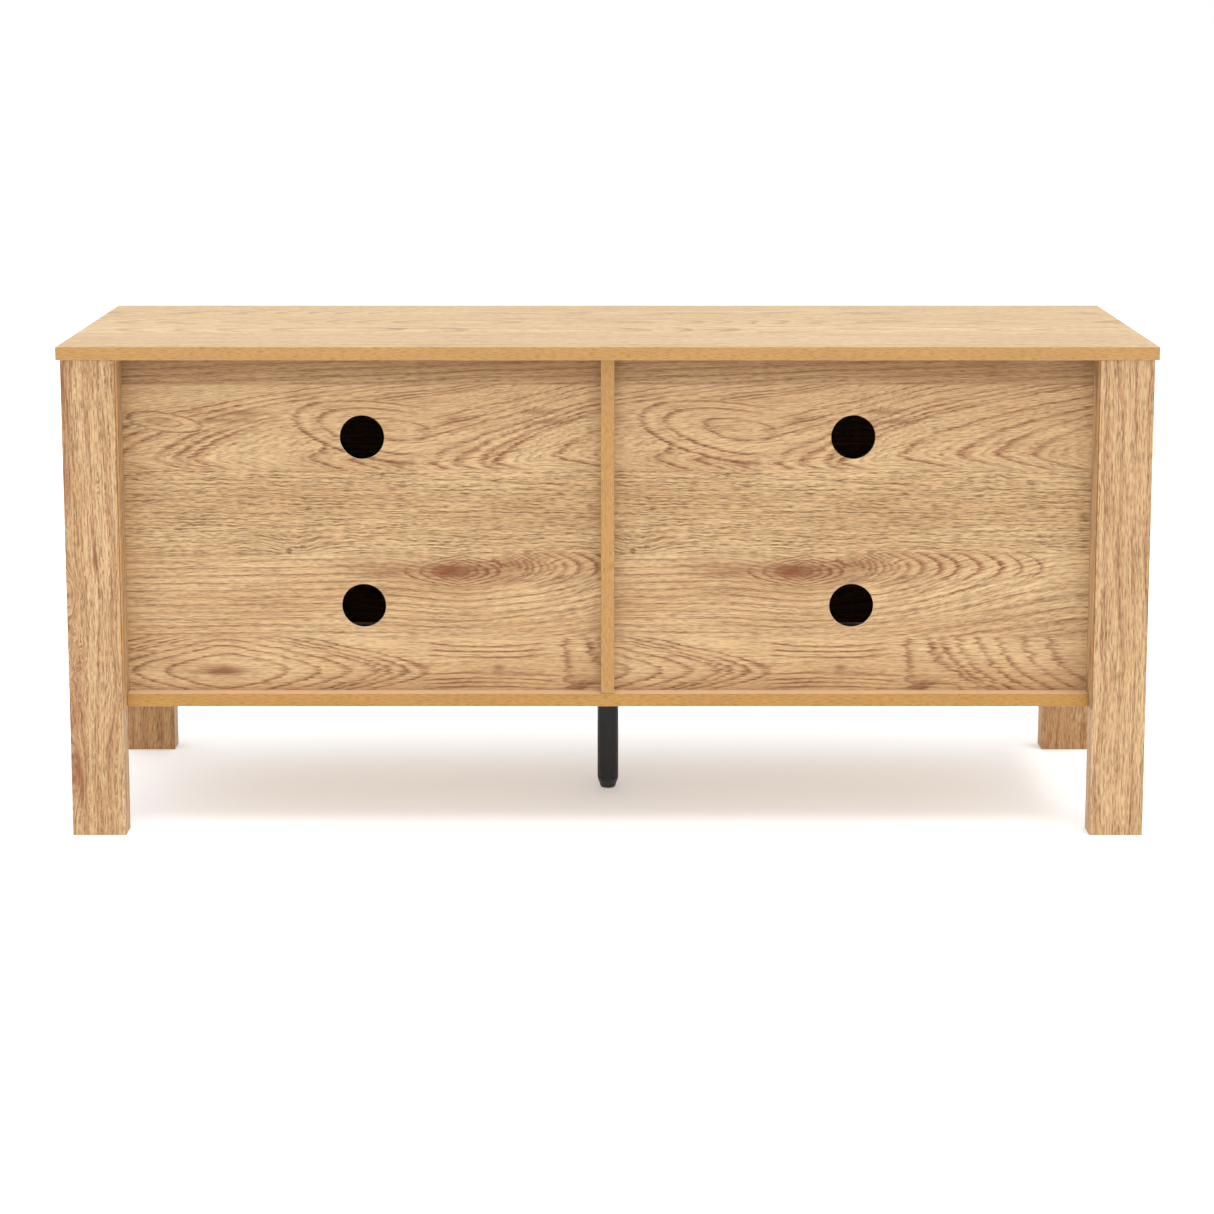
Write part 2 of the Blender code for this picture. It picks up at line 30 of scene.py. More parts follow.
def linear(colour):
    """An sRGB colour of 0 to 255 as linear RGBA."""
    curve = (c / 255 / 12.92 if c <= 10 else ((c / 255 + 0.055) / 1.055) ** 2.4 for c in colour)
    return (*curve, 1.0)


class Value:
    """A node's output, which takes part in arithmetic."""

    def __init__(self, graph, socket):
        self.graph, self.socket = graph, socket

    def __add__(self, other):
        return self.graph.math("ADD", self, other)

    def __sub__(self, other):
        return self.graph.math("SUBTRACT", self, other)

    def __mul__(self, other):
        return self.graph.math("MULTIPLY", self, other)

    def __radd__(self, other):
        return self.graph.math("ADD", other, self)

    def __rsub__(self, other):
        return self.graph.math("SUBTRACT", other, self)

    def __rmul__(self, other):
        return self.graph.math("MULTIPLY", other, self)

    def __neg__(self):
        return self.graph.math("MULTIPLY", self, -1.0)

    def __abs__(self):
        return self.graph.math("ABSOLUTE", self)


class Graph:
    """Builds one material's nodes from expressions in metres in the row frame."""

    def __init__(self, name):
        self.material = bpy.data.materials.new(name)
        self.material.use_nodes = True
        self.nodes = self.material.node_tree.nodes
        self.links = self.material.node_tree.links
        self.nodes.clear()
        place = self.nodes.new("ShaderNodeTexCoord")
        self.x, self.y, self.z = self.split(place.outputs["Object"])
        self.nx, self.ny, self.nz = (abs(n) for n in self.split(place.outputs["Normal"]))

    def split(self, socket):
        node = self.nodes.new("ShaderNodeSeparateXYZ")
        self.links.new(socket, node.inputs[0])
        return [Value(self, out) for out in node.outputs]

    def put(self, value, socket):
        if isinstance(value, Value):
            self.links.new(value.socket, socket)
        else:
            socket.default_value = value

    def math(self, operation, *values):
        node = self.nodes.new("ShaderNodeMath")
        node.operation = operation
        for value, socket in zip(values, node.inputs):
            self.put(value, socket)
        return Value(self, node.outputs[0])

    def high(self, a, b):
        return self.math("MAXIMUM", a, b)

    def low(self, a, b):
        return self.math("MINIMUM", a, b)

    def whole(self, a):
        return self.math("FLOOR", a)

    def part(self, a):
        return self.math("FRACT", a)

    def root(self, a):
        return self.math("SQRT", a)

    def step(self, value, start, end, first=0.0, last=1.0):
        """A smooth change from first to last while value goes from start to end."""
        node = self.nodes.new("ShaderNodeMapRange")
        node.interpolation_type = "SMOOTHSTEP"
        given = {"Value": value, "From Min": start, "From Max": end, "To Min": first, "To Max": last}
        for name, number in given.items():
            self.put(number, node.inputs[name])
        return Value(self, node.outputs[0])

    def between(self, value, start, end, soft):
        """1 while value is between start and end, with soft ends."""
        rise = self.step(value, start - soft, start + soft)
        return rise * self.step(value, end - soft, end + soft, 1.0, 0.0)

    def hill(self, u, v, u0, v0, su, sv):
        """A smooth hill of height 1 at (u0, v0)."""
        a, b = (u - u0) * (1 / su), (v - v0) * (1 / sv)
        return self.math("EXPONENT", -(a * a + b * b))

    def noise(self, u, v, seed=0.0, detail=2.0, rough=0.5):
        """Noise of 0 to 1 over (u, v), which hold the scale already."""
        join = self.nodes.new("ShaderNodeCombineXYZ")
        self.put(u, join.inputs[0])
        self.put(v, join.inputs[1])
        self.put(seed, join.inputs[2])
        node = self.nodes.new("ShaderNodeTexNoise")
        self.links.new(join.outputs[0], node.inputs["Vector"])
        node.inputs["Scale"].default_value = 1.0
        node.inputs["Detail"].default_value = detail
        node.inputs["Roughness"].default_value = rough
        node.inputs["Distortion"].default_value = 0.0
        return Value(self, node.outputs[0])

    def lines(self, value, start, end, at, wide):
        """Dark lines where value passes each of at: 1 on the line, and a slower fade on its lower side."""
        found = 0.0
        place = (value - start) * (1 / (end - start))
        for group in [at[i:i + 9] for i in range(0, len(at), 9)]:
            node = self.nodes.new("ShaderNodeValToRGB")
            self.put(place, node.inputs[0])
            stops = node.color_ramp.elements
            while len(stops) > 1:
                stops.remove(stops[-1])
            stops[0].position, stops[0].color = 0.0, (0, 0, 0, 1)
            for line in sorted(group):
                for offset, dark in (-wide * 0.72, 0), (0.0, 1), (wide * 0.28, 0):
                    stop = stops.new((line + offset - start) / (end - start))
                    stop.color = (dark, dark, dark, 1)
            found = self.high(found, Value(self, node.outputs[0]))
        return found

    def random(self, value):
        """A random number of 0 to 1 for each whole value."""
        node = self.nodes.new("ShaderNodeTexWhiteNoise")
        node.noise_dimensions = "1D"
        self.put(value, node.inputs["W"])
        return Value(self, node.outputs["Value"])

    def mix(self, share, a, b):
        """The colour a, with a share of the colour b laid over it."""
        node = self.nodes.new("ShaderNodeMix")
        node.data_type, node.blend_type = "RGBA", "MIX"
        self.put(share, node.inputs[0])
        self.put(a, node.inputs[6])
        self.put(b, node.inputs[7])
        return Value(self, node.outputs[2])

    def finish(self, colour, rough, height=None, depth=0.0002, strength=0.5, **constants):
        """The shader: colour, roughness and bump from nodes, constants set on its own sockets."""
        shader = self.nodes.new("ShaderNodeBsdfPrincipled")
        self.put(colour, shader.inputs["Base Color"])
        self.put(rough, shader.inputs["Roughness"])
        for name, value in constants.items():
            shader.inputs[name.replace("_", " ")].default_value = value
        if height is not None:
            bump = self.nodes.new("ShaderNodeBump")
            bump.inputs["Strength"].default_value = strength
            bump.inputs["Distance"].default_value = depth
            self.put(height, bump.inputs["Height"])
            self.links.new(bump.outputs[0], shader.inputs["Normal"])
        out = self.nodes.new("ShaderNodeOutputMaterial")
        self.links.new(shader.outputs[0], out.inputs[0])
        return self.material


# ---------------------------------------------------------------- oak

STAVE = 0.0965  # the height of the printed staves on the back panels, m
SEAMS = [0.2225 + i * STAVE for i in range(4)]  # the heights of their seams, m
PRINT_SHIFT = 0.388  # how far along the -X panel's print is shifted, m
RED_PATCHES = (  # where the print is reddish: u, z, half sizes (m) and strength
    (0.1674, 0.2986, 0.045, 0.013, 0.66), (0.4338, 0.1833, 0.026, 0.0050, 0.95),
    (0.255, 0.303, 0.050, 0.012, 0.45), (0.408, 0.4790, 0.020, 0.0035, 0.70),
    (0.430, 0.4715, 0.030, 0.0025, 0.55), (0.0797, 0.4812, 0.022, 0.0035, 0.65),
    (0.0658, 0.4691, 0.022, 0.0030, 0.65), (0.2345, 0.4220, 0.014, 0.0035, 0.80),
    (0.330, 0.333, 0.030, 0.012, 0.25), (0.170, 0.4725, 0.016, 0.0050, 0.50),
    (0.500, 0.4690, 0.016, 0.0040, 0.45), (0.2100, 0.1895, 0.014, 0.0028, 0.60),
    (0.124, 0.1880, 0.006, 0.0045, 0.60), (0.1800, 0.2980, 0.017, 0.0065, 0.75),
    (0.108, 0.3060, 0.030, 0.008, 0.30), (0.262, 0.4640, 0.020, 0.0025, 0.40))
KNOTS = (  # knots and cracks in the print: u, z and half sizes (m)
    (0.3597, 0.3222, 0.0042, 0.0042), (0.3440, 0.3268, 0.0040, 0.0026), (0.1860, 0.2963, 0.0062, 0.0026),
    (0.1790, 0.2990, 0.0042, 0.0030), (0.1750, 0.3022, 0.0024, 0.0038), (0.5300, 0.4050, 0.0014, 0.0014),
    (0.1290, 0.3110, 0.0034, 0.0022), (0.1235, 0.3086, 0.0026, 0.0030), (0.1205, 0.3045, 0.0024, 0.0022))


PRINT = dict(ground=(221, 186, 138), mid=(206, 167, 119), deep=(132, 74, 40), pore=(106, 76, 44))
KNOT = (124, 62, 36)
TOP_STAVE_AND_SHADE = (122, 80, 42)  # a darker top stave, and painted shade under the top's overhang
SEAM = (120, 80, 50)
RAW_EDGE = (240, 228, 208)  # the back panels' bare edges, round the cable holes too


def pores(g, u, v, seed):
    """Short dashes and long thin streaks along u, each 0 to 1."""
    fine = g.noise(u * 84, v * 800, seed, 1.0, 0.6)
    long = g.noise(u * 14, v * 430, seed + 5, 3.0, 0.68)
    return g.step(fine, 0.40, 0.62), g.step(long, 0.38, 0.68)


def oak_colour(g, line, fine, long, tone, red, ground, mid, deep, pore):
    """Ground wood, reddish late wood in the rings, then dark pores."""
    wood = g.mix(tone, linear(ground), linear(mid))
    wood = g.mix(red, wood, linear(deep))
    wood = g.mix(line * (long * 0.30 + fine * 0.35 + 0.60), wood, linear(deep))
    return g.mix(long * 0.33 + fine * (long * 0.16 + 0.28), wood, linear(pore))


def rings(g, height):
    """Dark late wood that ends in a sharp edge at each whole height."""
    t = g.part(height)
    return g.step(t, 0.45, 0.88) * g.step(t, 0.90, 1.0, 1.0, 0.0)


def arch_stave(g, u, z, wander):
    """Pointed arches with their tips low in the stave, and loops that open among them."""
    tip = 0.4270 - g.hill(u, 0.0, 0.165, 0.0, 0.080, 1.0) * 0.005 + g.step(u, 0.10, 0.02) * 0.005
    v = z - tip + wander * 0.2
    up, down = g.high(v, 0.0), g.high(-v, 0.0)
    s = u + up * 0.62 + up * up * 37 + down * 2.2 + down * down * 90
    tips = [0.5096, 0.4849, 0.4657, 0.2004, 0.1708, 0.1449, 0.1259, 0.0567, -0.007, -0.0477, -0.088,
            0.62, 0.585, 0.555, 0.335, 0.29, 0.255]
    arches = g.high(g.lines(s, -0.3, 1.0, tips, 0.016), rings(g, s * 66) * 0.34)

    du, dv = u - 0.241, z - 0.4634 - (u - 0.241) * 0.12 + wander * 0.3
    above, below = g.high(dv, 0.0), g.high(-dv, 0.0)
    loop = g.root(du * du * 84 + above * above * 1296 + below * below * 626)
    loops = g.high(g.lines(loop, 0.0, 1.3, [0.36, 0.74, 1.0], 0.11), rings(g, loop * 7) * 0.22)
    inside = g.step(loop, 1.12, 1.0) * g.step(u, 0.180, 0.235)

    du, dv = u - 0.497, z - 0.4690 - (u - 0.497) * 0.14 + wander * 0.3
    lens = g.root(du * du * 553 + dv * dv * 9070)
    in_lens = g.step(lens, 1.12, 1.0)

    line = arches * (1.0 - inside) + loops * inside
    line = line * (1.0 - in_lens) + g.lines(lens, 0.0, 1.3, [0.45, 1.0], 0.26) * in_lens
    return line, abs(v) * 0.75 + s * 0.14


def swirl_stave(g, u, z, wander):
    """A pointed eye, arcs like brackets on its right, and lines that sag under both."""
    sag = (g.step(u, 0.26, 0.16) * 0.010 - g.step(u, 0.17, -0.16) * 0.060) * g.step(z, 0.150, 0.330)
    flow = z + sag + u * 0.012 + wander * 0.25
    du, dv = u - 0.1674, z - 0.2986 + wander * 0.15
    eye = abs(du) * 18.2 + dv * dv * 3265
    in_eye = g.step(eye, 1.35, 1.15)
    eye_lines = g.lines(eye, 0.0, 1.5, [0.16, 0.34, 0.56, 0.80, 1.10], 0.15)
    rise = z - 0.303
    arc = u - rise * rise * 95
    arcs = g.lines(arc, -0.2, 0.2, [0.046, 0.030, 0.010, -0.010, -0.034, -0.059], 0.012)
    feather_at = [0.115, 0.107, 0.100, 0.091, 0.084, 0.075, 0.067, 0.058, -0.082, -0.105]
    feather = g.lines(arc, -0.2, 0.2, feather_at, 0.007)
    arcs = g.high(arcs, feather * 0.8)
    use_arcs = g.step(z, 0.279, 0.292) * g.step(u, 0.122, 0.105)
    line = rings(g, flow * 120) * 0.45 * (1.0 - in_eye) + eye_lines * in_eye
    return line * (1.0 - use_arcs) + arcs * use_arcs * (1.0 - in_eye), flow


def lens_stave(g, u, z, zigzag):
    """A lens whose tips point to the right, long bowed lines, then arcs that fall away to the right."""
    du, dv = u - 0.4338, z - 0.1833
    lens = g.root(du * du + 0.0002) * 13.4 + g.root(dv * dv + 0.00012) * 62 - 0.78
    lenses = g.lines(lens, 0.0, 4.0, [0.85, 1.36, 1.80, 2.22, 2.40, 2.66, 2.97], 0.20)
    by_lens = g.step(u, 0.190, 0.220)

    bow = g.step(z, 0.170, 0.207, 0.58, -0.80)
    long_at = [0.1655, 0.1705, 0.1750, 0.1810, 0.1990, 0.2055, 0.2120]
    long = g.lines(z + (u - 0.14) * (u - 0.14) * bow, 0.15, 0.23, long_at, 0.0032)

    fall = SEAMS[0] - z
    arc = u + zigzag + fall * fall * 17.6 * g.step(u, 0.055, -0.010)
    arcs = g.lines(arc, -0.3, 0.2, [0.049, 0.022, 0.010, -0.006, -0.030, -0.053, -0.080, -0.110], 0.011)
    by_arcs = g.step(u + zigzag * 2.0, 0.078, 0.050)
    return lenses * by_lens + long * (1.0 - by_lens) * (1.0 - by_arcs) + arcs * by_arcs


def print_field(g, u, z):
    """The back panels' print at u, z: its dark lines, the coordinate across its pores, how strong
    the pores are, and its seams."""
    wander = (g.noise(u * 6.0, z * 18, 1.0, 2.0) - 0.5) * 0.020
    tear = (g.noise(u * 26, z * 560, 2.0, 1.0) - 0.5) * 0.018
    ripple = (g.noise(u * 42, z * 70, 4.0, 2.0, 0.6) - 0.5) * 0.0045
    zigzag = (g.noise(u * 30, z * 150, 6.0, 1.0) - 0.5) * 0.014
    ragged_u, ragged_z = u + wander + tear, z + ripple * 0.5

    arch, arch_across = arch_stave(g, ragged_u, ragged_z, wander)
    swirl, flow = swirl_stave(g, u + wander + tear * 0.5, z + ripple * 0.35, wander)
    bottom = lens_stave(g, ragged_u, ragged_z, zigzag)
    by_knots = g.hill(u, z, 0.352, 0.328, 0.030, 0.014) * 0.008
    straight = z + by_knots + wander * 0.3 + ripple
    sloped = z + u * 0.035 + wander * 0.3

    above = [g.step(z, seam - 0.0008, seam + 0.0008) for seam in SEAMS]

    def pick(values):
        """values are for the staves from the bottom up."""
        result = values[0]
        for share, value in zip(above, values[1:]):
            result = result + share * (value - result)
        return result

    line = pick([bottom * 0.85, swirl, rings(g, straight * 150) * 0.22, arch, rings(g, sloped * 120) * 0.5])
    across = pick([z + wander * 0.4, flow, straight, arch_across, sloped])
    pore_share = pick([0.85, 0.95, 1.25, 0.85, 1.1])
    seam = 0.0
    for at in SEAMS:
        seam = seam + g.between(z, at - 0.0005, at + 0.0005, 0.0006)
    return line, across, pore_share, seam


def back_print(name):
    """Both back panels: the same print, shifted along on the -X one."""
    g = Graph(name)
    u, z = g.x + g.step(g.x, 0.001, -0.001) * PRINT_SHIFT, g.z
    line, across, pore_share, seam = print_field(g, u, z)
    fine, long = pores(g, u, across, 7.0)
    fine, long = fine * pore_share, long * pore_share
    blush = g.step(z, SEAMS[1] - 0.001, SEAMS[1] + 0.001, 0.22, 0.08)
    line = g.low(line * g.step(g.noise(u * 12, z * 50, 9.0, 2.0), 0.30, 0.62, 0.55, 1.30), 1.0)
    tone = g.step(g.noise(u * 4.0, z * 20, 11.0, 3.0, 0.6), 0.30, 0.70)
    red = 0.0
    for u0, v0, su, sv, share in RED_PATCHES:
        red = red + g.hill(u, z, u0, v0, su, sv) * share
    clouds = g.step(g.noise(u * 5, z * 32, 17.0, 2.0), 0.45, 0.75)
    red = g.low(red * (long * 0.6 + 0.75) + clouds * blush, 0.9)
    wood = oak_colour(g, line, fine, long, tone, red, **PRINT)
    knots = (g.noise(u * 380, z * 700, 15.0, 2.0) - 0.5) * 1.7
    for u0, v0, su, sv in KNOTS:
        knots = knots + g.hill(u, z, u0, v0, su, sv)
    wood = g.mix(g.step(knots, 0.30, 0.80) * 0.70, wood, linear(KNOT))
    # The darker top stave above the last seam is print; the soft rise from z = 0.490 up is painted shade
    # under the top's overhang.
    top_stave_and_painted_shade = g.step(z, SEAMS[3] - 0.001, SEAMS[3] + 0.001) * 0.25 + g.step(z, 0.490, 0.545) * 0.42
    wood = g.mix(top_stave_and_painted_shade, wood, linear(TOP_STAVE_AND_SHADE))
    wood = g.mix(seam * 0.16, wood, linear(SEAM))
    wood = g.mix(g.step(g.ny, 0.6, 0.4), wood, linear(RAW_EDGE))
    rough = 0.46 + fine * 0.14 + g.noise(u * 30, z * 30, 13.0) * 0.06
    bump = -(fine * 0.6 + long * 0.5)
    return g.finish(wood, rough, bump, depth=0.00012, strength=0.35, Specular_IOR_Level=0.35)


def board_oak(g, u, v, seed, ground, mid, deep, pore):
    """Generic oak boards of glued staves, grain along u: colour, short pores and long pores."""
    place = v * (1 / STAVE) + seed * 0.37
    index = g.whole(place)
    a, b = g.random(index + seed), g.random(index + seed + 31.7)
    inside = (place - index - 0.5) * STAVE
    slide = u + a * 3.7
    wander = g.noise(slide * 3.0, v * 18, seed + 1, 3.0, 0.55) - 0.5
    off = inside + (b - 0.5) * 0.16 + wander * 0.012
    depth = g.noise(slide * 1.1, b * 9.0, seed + 2, 2.0) * 0.16
    height = g.root(off * off + depth * depth) * 190 + wander * 2.2
    fine, long = pores(g, slide, off + v * 0.3, seed + 3)
    line = rings(g, height) * g.noise(slide * 5, v * 40, seed + 4, 1.0) * 1.15
    tone = g.step(g.noise(slide * 3.0, v * 16, seed + 6, 3.0, 0.6) + (a - 0.5) * 0.22, 0.25, 0.75)
    wood = oak_colour(g, line, fine, long, tone, 0.0, ground, mid, deep, pore)
    seam = g.between(place - index, 0.0, 0.012, 0.004)
    return g.mix(seam * 0.12, wood, linear(deep)), fine, long


FLECK = (142, 96, 50)
MARK = (150, 108, 76)
# painted light for the bottom panel's ledge, which faces up behind the back panels
PAINTED_LIGHT_LEDGE = (236, 200, 164)


def banding(g, u, v, seed, colour):
    """The honey-coloured edge strip, with short slanting flecks."""
    n = g.noise(u * 120 + v * 60, v * 900 - u * 60, seed, 2.0)
    soft = g.noise(u * 10, v * 90, seed + 2, 2.0)
    strip = g.mix(g.step(soft, 0.3, 0.7) * 0.5, linear(colour), linear([c * 0.93 for c in colour]))
    return g.mix(g.step(n, 0.44, 0.66) * 0.48, strip, linear(FLECK))


def oak_board(name, along, faces, seed, ground=(212, 178, 134), mid=(192, 154, 110), deep=(148, 96, 64),
              pore=(116, 86, 56), edge=(188, 143, 84), gloss=0.35, dull=0.44, marks=(), painted_light_beyond=None):
    """A board with its grain along one axis: oak foil on its faces and an edge strip round them.

    marks are dark streaks: u, v, half sizes (m) and strength. Past v = painted_light_beyond, painted light
    lightens the foil where the bottom panel's ledge faces up behind the back panels.
    """
    g = Graph(name)
    axes = {"x": g.x, "y": g.y, "z": g.z}
    normal = {"x": g.nx, "y": g.ny, "z": g.nz}[faces]
    rest = [axes[a] for a in "xyz" if a not in (along, faces)]
    u, v = axes[along], rest[0]
    wood, fine, long = board_oak(g, u, v, seed, ground, mid, deep, pore)
    for u0, v0, su, sv, share in marks:
        ragged = v + (g.noise(u * 9, v * 60, seed + 14, 3.0) - 0.5) * 0.012
        streak = g.hill(u, ragged, u0, v0, su, sv) * (long * 0.8 + 0.3) * share
        wood = g.mix(streak, wood, linear(MARK))
    if painted_light_beyond is not None:
        # Painted light on the ledge that faces up.
        wood = g.mix(g.step(v, painted_light_beyond, painted_light_beyond + 0.001) * 0.60, wood, linear(PAINTED_LIGHT_LEDGE))
    strip = banding(g, u + v, axes[faces], seed + 9, edge)
    on_face = g.step(normal, 0.6, 0.8)
    colour = g.mix(on_face, strip, wood)
    rough = dull + fine * 0.12 + g.noise(u * 25, v * 25, seed + 12) * 0.08
    bump = -(fine * 0.6 + long * 0.4)
    return g.finish(colour, rough, bump, depth=0.00012, strength=0.35, Specular_IOR_Level=gloss)


LEG_DEEP, LEG_PORE = (150, 88, 52), (112, 76, 44)
LEG_DOT = (104, 60, 34)
LEG_END = (176, 132, 86)


def oak_leg(name, seed, ground=(219, 183, 136), mid=(202, 163, 116), dots=0.3,
            patches=(), bends=(), curl=None):
    """A post wrapped in oak foil, grain up it; patches are reddish, and the grain parts round bends.

    Each patch, bend and curl starts with z, x and its half sizes along them (m).
    """
    g = Graph(name)
    u, v = g.z, g.x + g.y
    wander = g.noise(u * 5.0, v * 22, seed + 1, 3.0, 0.6) - 0.5
    off = v + wander * 0.012 + (g.noise(u * 2.0, v * 3, seed + 2, 1.0) - 0.5) * 0.02
    for z0, x0, sz, sx, push in bends:
        off = off + g.hill(u, g.x, z0, x0, sz, sx) * push
    if curl:
        z0, x0, sz, sx = curl
        off = off + (g.noise(u * 90, v * 90, seed + 7, 2.0) - 0.5) * g.hill(u, g.x, z0, x0, sz, sx) * 0.016
    fine, long = pores(g, u, off, seed + 5)
    place = g.part(off * 150 + wander)
    row = g.step(place, 0.34, 0.50) * g.step(place, 0.50, 0.66, 1.0, 0.0)
    dot = row * g.step(g.noise(u * 260, off * 150, seed + 3, 0.0), 0.42, 0.58)
    dot = dot * g.noise(u * 9, v * 60, seed + 9, 1.0)
    line = rings(g, off * 62 + wander * 1.5) * g.noise(u * 7, v * 50, seed + 4, 1.0) * 0.9
    tone = g.step(g.noise(u * 4.0, v * 25, seed + 6, 3.0, 0.6), 0.3, 0.7)
    red = g.step(g.noise(u * 6, v * 22, seed + 8, 3.0, 0.6), 0.58, 0.78) * 0.25
    for z0, x0, sz, sx, share in patches:
        red = red + g.hill(u, g.x + wander * 0.020, z0, x0, sz, sx) * share * (long * 0.7 + 0.7)
    red = g.low(red, 0.85)
    wood = oak_colour(g, line, fine * 1.15, long, tone, red, ground, mid, LEG_DEEP, LEG_PORE)
    wood = g.mix(dot * dots, wood, linear(LEG_DOT))
    wood = g.mix(g.step(g.nz, 0.6, 0.8), wood, linear(LEG_END))
    rough = 0.46 + fine * 0.14
    bump = -(fine * 0.6 + long * 0.4 + dot * 0.5)
    return g.finish(wood, rough, bump, depth=0.00015, strength=0.4, Specular_IOR_Level=0.35)


# ---------------------------------------------------------------- metal and plastic

def powder_coat(name, colour=(22, 23, 24)):
    """Black powder coat: fine orange peel and a few rubbed spots."""
    g = Graph(name)
    speck = g.noise(g.x * 900 + g.y * 500, g.z * 900 + g.y * 700, 1.0, 2.0)
    cloud = g.noise(g.x * 40 + g.y * 30, g.z * 25, 2.0, 3.0)
    tint = g.mix(g.step(cloud, 0.35, 0.7) * 0.5, linear(colour), linear([c * 0.82 for c in colour]))
    tint = g.mix(g.step(speck, 0.62, 0.75) * 0.2, tint, linear([c * 1.6 for c in colour]))
    return g.finish(tint, 0.42 + cloud * 0.12, speck, depth=0.0001, strength=0.25, Specular_IOR_Level=0.35)


def moulded(name, colour=(33, 33, 31)):
    """Black moulded plastic: a fine even texture."""
    g = Graph(name)
    grain = g.noise(g.x * 1500 + g.y * 900, g.z * 1500 + g.y * 700, 4.0, 1.0)
    cloud = g.noise(g.x * 60, g.z * 60 + g.y * 60, 5.0, 2.0)
    tint = g.mix(g.step(cloud, 0.35, 0.7), linear(colour), linear([c * 0.85 for c in colour]))
    return g.finish(tint, 0.30 + grain * 0.15, grain, depth=0.00008, strength=0.2)


def steel(name, colour, rough, brush_up=True):
    """Plated steel: fine brushing, up the piece or without direction, and dull smears."""
    g = Graph(name)
    across = g.x * 3000 + g.y * 2600
    if brush_up:
        brush = g.noise(across, g.z * 120, 6.0, 2.0)
    else:
        brush = g.noise(g.x * 800, g.z * 800 + g.y * 800, 6.0, 2.0)
    smear = g.noise(g.x * 120 + g.y * 100, g.z * 90, 8.0, 3.0)
    tint = g.mix(g.step(smear, 0.35, 0.75) * 0.6, linear(colour), linear([c * 0.8 for c in colour]))
    rough = rough + smear * 0.15 + brush * 0.08
    return g.finish(tint, rough, brush, depth=0.00004, strength=0.2, Metallic=1.0)


# ---------------------------------------------------------------- materials on the CAD nodes

PALE = dict(ground=(226, 198, 152), mid=(216, 185, 137), deep=(160, 122, 86), pore=(132, 100, 66))
BACK_PANEL_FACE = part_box("left_back_panel")[1][1]  # y of the back panels' outer face, m
finishes = {
    "top": oak_board(
        "oak_top", "x", "z", 3.0, **PALE,
        marks=((0.22, 0.035, 0.20, 0.0040, 0.80), (-0.10, 0.045, 0.16, 0.0050, 0.65),
               (0.05, -0.060, 0.16, 0.0060, 0.50), (0.45, 0.120, 0.12, 0.0050, 0.40),
               (-0.42, -0.010, 0.10, 0.0045, 0.50), (0.565, -0.030, 0.009, 0.0040, 1.0))),
    "shelf": oak_board("oak_shelves", "x", "z", 17.0, gloss=0.05, dull=0.78),
    "bottom": oak_board("oak_bottom", "x", "z", 19.0, gloss=0.05, dull=0.78, painted_light_beyond=BACK_PANEL_FACE),
    "upright": oak_board("oak_upright_boards", "z", "x", 23.0),
    # The side panels' edge strips are lit and shaded copies of one honey colour: the -X panel's is painted
    # darker as shade, the +X panel's painted lighter as light.
    "side_left": oak_board("oak_left_side_shaded_edge", "z", "x", 27.0, edge=(180, 126, 66)),
    "side_right": oak_board("oak_right_side_lit_edge", "z", "x", 29.0, edge=(206, 146, 80)),
    "door": oak_board("oak_doors", "x", "y", 41.0),
    # The front legs' darker ground and mid colours are painted shade.
    "leg": oak_leg("oak_front_legs_shaded", 50.0, (204, 163, 112), (188, 146, 96)),
    "leg_knotty": oak_leg(
        "oak_leg_knotty", 61.0, dots=1.0,
        patches=((0.500, 0.604, 0.060, 0.009, 0.9), (0.405, 0.602, 0.030, 0.007, 0.8),
                 (0.318, 0.574, 0.016, 0.0025, 0.9), (0.190, 0.600, 0.035, 0.011, 0.5),
                 (0.140, 0.600, 0.020, 0.010, 0.7), (0.070, 0.594, 0.040, 0.0045, 0.9),
                 (0.278, 0.602, 0.006, 0.003, 0.6)),
        bends=((0.278, 0.602, 0.022, 0.008, 0.016), (0.075, 0.600, 0.045, 0.010, 0.012)),
        curl=(0.195, 0.600, 0.055, 0.018)),
    "leg_fine": oak_leg("oak_leg_fine", 83.0, dots=0.2),
    "back": back_print("oak_back_print"),
    "powder": powder_coat("black_powder_coat"),
    "plastic": moulded("black_moulded_plastic"),
    "nickel": steel("hinge_nickel", (196, 192, 184), 0.28),
    "zinc": steel("zinc_steel", (182, 186, 190), 0.34, False),
}


def finish_of(name):
    """The finish of the CAD node called name."""
    if name == "top_panel":
        return "top"
    if name == "bottom_panel":
        return "bottom"
    if name.endswith("_shelf"):
        return "shelf"
    if name == "centre_divider":
        return "upright"
    if name.endswith("_side_panel"):
        return "side_" + name.split("_")[0]
    if name in ("left_door", "right_door"):
        return "door"
    if name == "back_right_leg":
        return "leg_knotty"
    if name == "back_left_leg":
        return "leg_fine"
    if name.endswith("_leg"):
        return "leg"
    if name.endswith("_back_panel"):
        return "back"
    if name in ("centre_leg_tube", "centre_leg_plate") or name.endswith(("_bar", "_post")):
        return "powder"
    if name in ("levelling_foot", "centre_leg_plug") or name.endswith("magnetic_catch"):
        return "plastic"
    if "hinge" in name:
        return "nickel"
    return "zinc"


for name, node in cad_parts.items():
    node.data.materials.clear()
    node.data.materials.append(finishes[finish_of(name)])


# ---------------------------------------------------------------- floor, light and camera

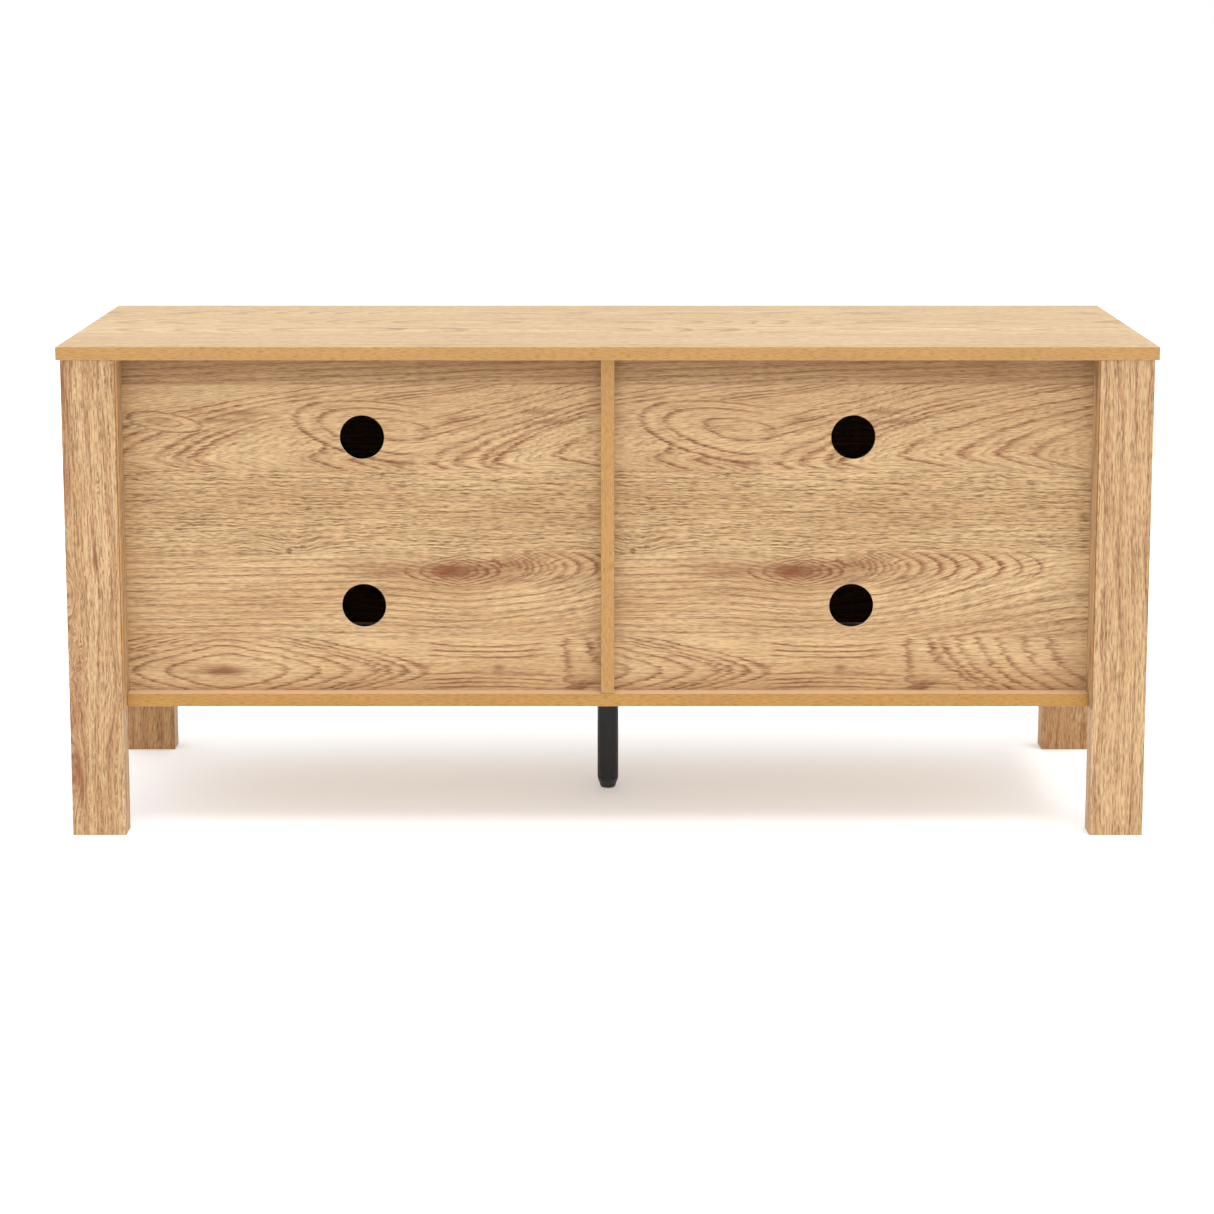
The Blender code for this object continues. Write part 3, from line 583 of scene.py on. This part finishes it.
def pale_floor(name, colour=(252, 252, 252)):
    """A plain matt floor; a little light of its own stands for the bounce of a white studio."""
    g = Graph(name)
    cloud = g.noise(g.x * 2, g.y * 2, 3.0, 2.0)
    tint = g.mix(cloud * 0.1, linear(colour), linear([c * 0.99 for c in colour]))
    return g.finish(tint, 0.9, Emission_Color=(0.82, 0.93, 1.0, 1.0), Emission_Strength=0.25)


REACH = 60.0  # from the middle of the floor to its sides, m
corners = [(-REACH, -REACH, 0), (REACH, -REACH, 0), (REACH, REACH, 0), (-REACH, REACH, 0)]
mesh = bpy.data.meshes.new("floor")
mesh.from_pydata(corners, [], [(0, 1, 2, 3)])
floor = bpy.data.objects.new("floor", mesh)
bpy.context.scene.collection.objects.link(floor)
mesh.materials.append(pale_floor("pale_floor"))

world = bpy.data.worlds.new("studio")
world.use_nodes = True
world.node_tree.nodes["Background"].inputs[0].default_value = (1.0, 1.0, 1.0, 1.0)
world.node_tree.nodes["Background"].inputs[1].default_value = 1.0
bpy.context.scene.world = world

SUN_ENERGY, SUN_ANGLE = 1.4, 35  # the angle is in degrees, wide enough for soft edges
SUN_DIRECTION = (0.12, -0.22, -0.97)
sun = bpy.data.lights.new("soft_key", "SUN")
sun.energy, sun.angle = SUN_ENERGY, math.radians(SUN_ANGLE)
lamp = bpy.data.objects.new("soft_key", sun)
lamp.rotation_mode = "QUATERNION"
lamp.rotation_quaternion = Vector(SUN_DIRECTION).to_track_quat("-Z", "Y")
bpy.context.scene.collection.objects.link(lamp)

LENS_PX, FRAME_PX = 2812.7, 1214  # focal length and picture width, in the picture's pixels
SENSOR = 36  # mm
PITCH = 8.458  # how far the camera looks down, degrees
camera_data = bpy.data.cameras.new("camera")
camera_data.sensor_width = SENSOR
camera_data.lens = SENSOR * LENS_PX / FRAME_PX
camera_data.shift_x, camera_data.shift_y = -0.0034, -0.17
camera = bpy.data.objects.new("camera", camera_data)
camera.location = (-0.0039, 3.2809, 0.9569)
camera.rotation_euler = (math.radians(90 - PITCH), 0, math.pi)
bpy.context.scene.collection.objects.link(camera)
bpy.context.scene.camera = camera
bpy.context.scene.view_settings.view_transform = "Standard"
